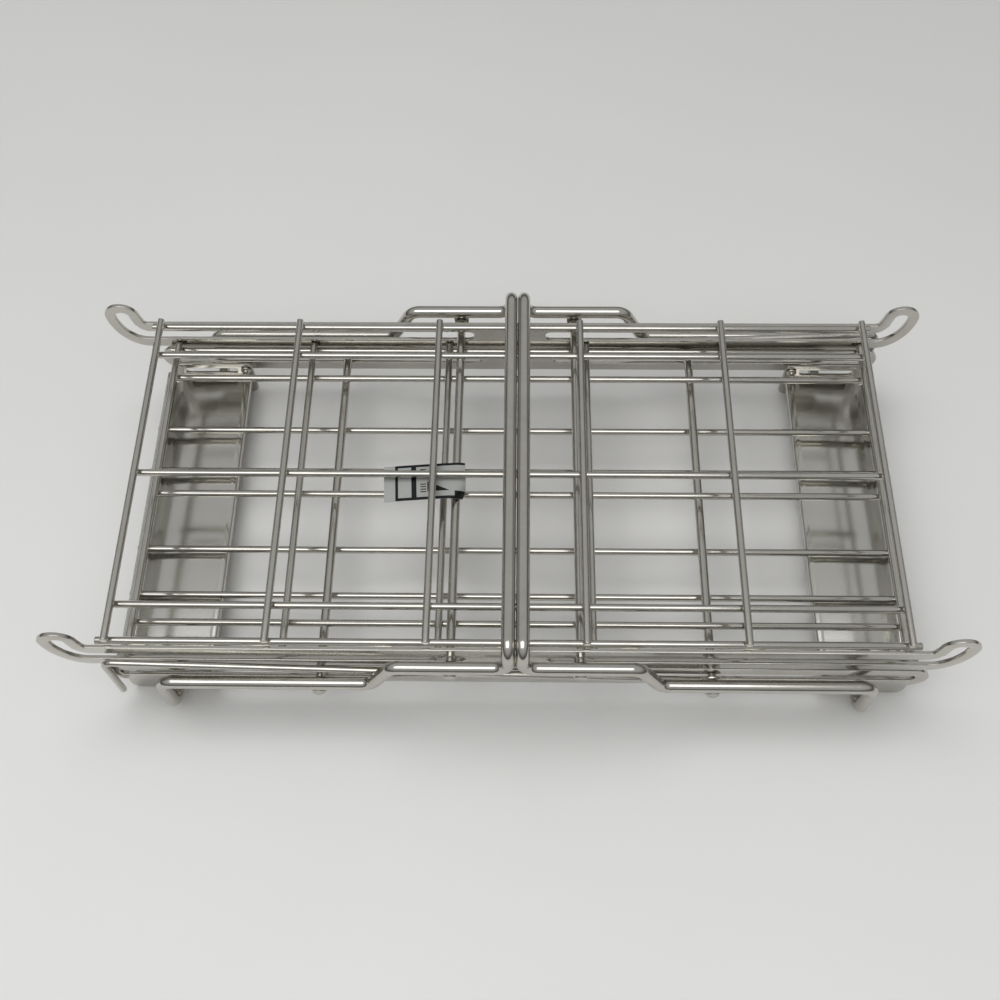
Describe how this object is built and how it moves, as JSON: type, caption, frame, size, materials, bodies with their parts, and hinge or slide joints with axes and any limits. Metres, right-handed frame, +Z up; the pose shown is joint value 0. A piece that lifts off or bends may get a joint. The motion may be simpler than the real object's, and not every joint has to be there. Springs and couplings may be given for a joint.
{
  "type": "folding wire rack",
  "caption": "Flat-folded steel wire rack with nested tiers, hook-ended slotted side plates, two hinged carrying frames and hooked side stays.",
  "frame": {"origin": "on the floor, under the middle of the folded pack", "axes": "+X along the long side, +Y towards the back, +Z up"},
  "size_m": [0.452, 0.2196, 0.0828],
  "materials": {
    "wire": "polished stainless steel wire",
    "rod": "polished stainless steel rod",
    "plate": "bright rolled stainless strip",
    "sheet": "satin stainless sheet",
    "fastener": "turned stainless steel",
    "label": "white paper with plain black lines"
  },
  "bodies": {
    "base": {"low_wire_1": "wire", "low_wire_2": "wire", "low_wire_3": "wire", "low_wire_4": "wire", "end_bracket_left": "sheet", "end_bracket_right": "sheet", "rivet_left_front": "fastener", "rivet_left_back": "fastener", "rivet_right_front": "fastener", "rivet_right_back": "fastener"},
    "frame_left": {"side_frame_left": "rod"},
    "frame_right": {"side_frame_right": "rod", "top_axle_right": "fastener", "mid_axle_right": "fastener"},
    "axle_top_left": {"top_axle_left": "fastener"},
    "axle_mid_left": {"mid_axle_left": "fastener"},
    "tier_top": {"top_rail_front": "wire", "top_rail_back": "wire", "top_long_wire_front": "wire", "top_long_wire_middle": "wire", "top_long_wire_back": "wire", "top_cross_wire_1": "wire", "top_cross_wire_2": "wire", "top_cross_wire_3": "wire", "top_cross_wire_4": "wire", "top_cross_wire_5": "wire", "top_cross_wire_6": "wire", "top_side_plate_front": "plate", "top_side_plate_back": "plate", "label": "label"},
    "tier_mid": {"mid_rail_front": "wire", "mid_rail_back": "wire", "mid_long_wire_front": "wire", "mid_long_wire_middle": "wire", "mid_long_wire_back": "wire", "mid_cross_wire_1": "wire", "mid_cross_wire_2": "wire", "mid_cross_wire_3": "wire", "mid_cross_wire_4": "wire", "mid_cross_wire_5": "wire", "mid_cross_wire_6": "wire", "mid_side_plate_front": "plate", "mid_side_plate_back": "plate"},
    "latch_stay_front": {"stay_front": "rod"},
    "latch_stay_back": {"stay_back": "rod"}
  },
  "joints": [
    {"name": "left_frame_swing", "type": "hinge", "parent": "base", "child": "frame_left", "pos_m": [-0.1735, 0, 0.006], "axis": [0, -1, 0], "range_deg": [0, 78]},
    {"name": "right_frame_swing", "type": "hinge", "parent": "base", "child": "frame_right", "pos_m": [0.1825, 0, 0.006], "axis": [0, 1, 0], "range_deg": [0, 78]},
    {"name": "top_axle_turn", "type": "hinge", "parent": "frame_left", "child": "axle_top_left", "pos_m": [-0.0275, 0, 0.0542], "axis": [0, -1, 0], "range_deg": [-78, 0]},
    {"name": "top_tier_slide", "type": "slide", "parent": "axle_top_left", "child": "tier_top", "axis": [1, 0, 0], "range_m": [0, 0.1629]},
    {"name": "mid_axle_turn", "type": "hinge", "parent": "frame_left", "child": "axle_mid_left", "pos_m": [-0.0945, 0, 0.0318], "axis": [0, -1, 0], "range_deg": [-78, 0]},
    {"name": "mid_tier_slide", "type": "slide", "parent": "axle_mid_left", "child": "tier_mid", "axis": [1, 0, 0], "range_m": [0, 0.0879]},
    {"name": "front_stay_turn", "type": "hinge", "parent": "frame_right", "child": "latch_stay_front", "pos_m": [0.1035, -0.1006, 0.0318], "axis": [0, 1, 0], "range_deg": [-70, 0]},
    {"name": "back_stay_turn", "type": "hinge", "parent": "frame_left", "child": "latch_stay_back", "pos_m": [-0.0945, 0.1006, 0.0318], "axis": [0, -1, 0], "range_deg": [-70, 0]}
  ],
  "couplings": [
    {"joint": "right_frame_swing", "follows": "left_frame_swing", "ratio": 1},
    {"joint": "top_axle_turn", "follows": "left_frame_swing", "ratio": -1},
    {"joint": "mid_axle_turn", "follows": "left_frame_swing", "ratio": -1},
    {"joint": "top_tier_slide", "follows": "left_frame_swing", "m_per_rad": 0.11958},
    {"joint": "mid_tier_slide", "follows": "left_frame_swing", "m_per_rad": 0.064503},
    {"joint": "front_stay_turn", "follows": "left_frame_swing", "ratio": -0.88},
    {"joint": "back_stay_turn", "follows": "left_frame_swing", "ratio": -0.88}
  ]
}
